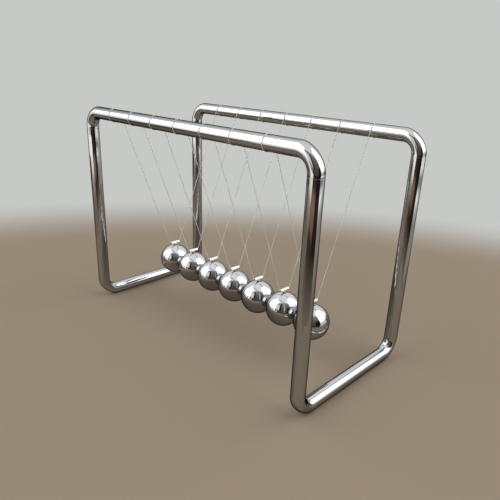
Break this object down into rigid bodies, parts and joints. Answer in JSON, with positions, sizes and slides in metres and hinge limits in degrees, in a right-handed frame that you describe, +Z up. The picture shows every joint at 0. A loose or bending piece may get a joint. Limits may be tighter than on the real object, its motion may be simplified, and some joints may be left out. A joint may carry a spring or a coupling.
{
  "type": "newtons cradle",
  "caption": "Desk newtons cradle: a row of polished steel balls on clear V lines, hung from two bent chrome tube rails on U-shaped end frames.",
  "frame": {"origin": "on the surface it stands on, under the middle ball, at the centre of the stand's footprint", "axes": "+X along the row of balls to the right end, +Y to the rear top rail, +Z up"},
  "size_m": [0.1998, 0.1004, 0.1416],
  "materials": {
    "chrome_tube": "bright chrome plate on steel tube",
    "polished_ball": "mirror polished steel",
    "bright_hanger": "bright drawn steel, lightly satin",
    "clear_line": "clear nylon monofilament",
    "clear_collar": "half-clear whitish plastic"
  },
  "bodies": {
    "stand": {"front_top_rail": "chrome_tube", "rear_top_rail": "chrome_tube", "left_end_frame": "chrome_tube", "right_end_frame": "chrome_tube", "front_collar_1": "clear_collar", "front_collar_2": "clear_collar", "front_collar_3": "clear_collar", "front_collar_4": "clear_collar", "front_collar_5": "clear_collar", "front_collar_6": "clear_collar", "front_collar_7": "clear_collar", "rear_collar_1": "clear_collar", "rear_collar_2": "clear_collar", "rear_collar_3": "clear_collar", "rear_collar_4": "clear_collar", "rear_collar_5": "clear_collar", "rear_collar_6": "clear_collar", "rear_collar_7": "clear_collar"},
    "pendulum_1": {"line_1": "clear_line", "hanger_1": "bright_hanger", "ball_1": "polished_ball"},
    "pendulum_2": {"line_2": "clear_line", "hanger_2": "bright_hanger", "ball_2": "polished_ball"},
    "pendulum_3": {"line_3": "clear_line", "hanger_3": "bright_hanger", "ball_3": "polished_ball"},
    "pendulum_4": {"line_4": "clear_line", "hanger_4": "bright_hanger", "ball_4": "polished_ball"},
    "pendulum_5": {"line_5": "clear_line", "hanger_5": "bright_hanger", "ball_5": "polished_ball"},
    "pendulum_6": {"line_6": "clear_line", "hanger_6": "bright_hanger", "ball_6": "polished_ball"},
    "pendulum_7": {"line_7": "clear_line", "hanger_7": "bright_hanger", "ball_7": "polished_ball"}
  },
  "joints": [
    {"name": "ball_1_swing", "type": "hinge", "parent": "stand", "child": "pendulum_1", "pos_m": [-0.0669, 0, 0.13872], "axis": [0, -1, 0], "range_deg": [-60, 0.15]},
    {"name": "ball_2_swing", "type": "hinge", "parent": "stand", "child": "pendulum_2", "pos_m": [-0.0446, 0, 0.13872], "axis": [0, -1, 0], "range_deg": [-0.15, 0.15]},
    {"name": "ball_3_swing", "type": "hinge", "parent": "stand", "child": "pendulum_3", "pos_m": [-0.0223, 0, 0.13872], "axis": [0, -1, 0], "range_deg": [-0.15, 0.15]},
    {"name": "ball_4_swing", "type": "hinge", "parent": "stand", "child": "pendulum_4", "pos_m": [0, 0, 0.13872], "axis": [0, -1, 0], "range_deg": [-0.15, 0.15]},
    {"name": "ball_5_swing", "type": "hinge", "parent": "stand", "child": "pendulum_5", "pos_m": [0.0223, 0, 0.13872], "axis": [0, -1, 0], "range_deg": [-0.15, 0.15]},
    {"name": "ball_6_swing", "type": "hinge", "parent": "stand", "child": "pendulum_6", "pos_m": [0.0446, 0, 0.13872], "axis": [0, -1, 0], "range_deg": [-0.15, 0.15]},
    {"name": "ball_7_swing", "type": "hinge", "parent": "stand", "child": "pendulum_7", "pos_m": [0.0669, 0, 0.13872], "axis": [0, -1, 0], "range_deg": [-0.15, 60]}
  ]
}
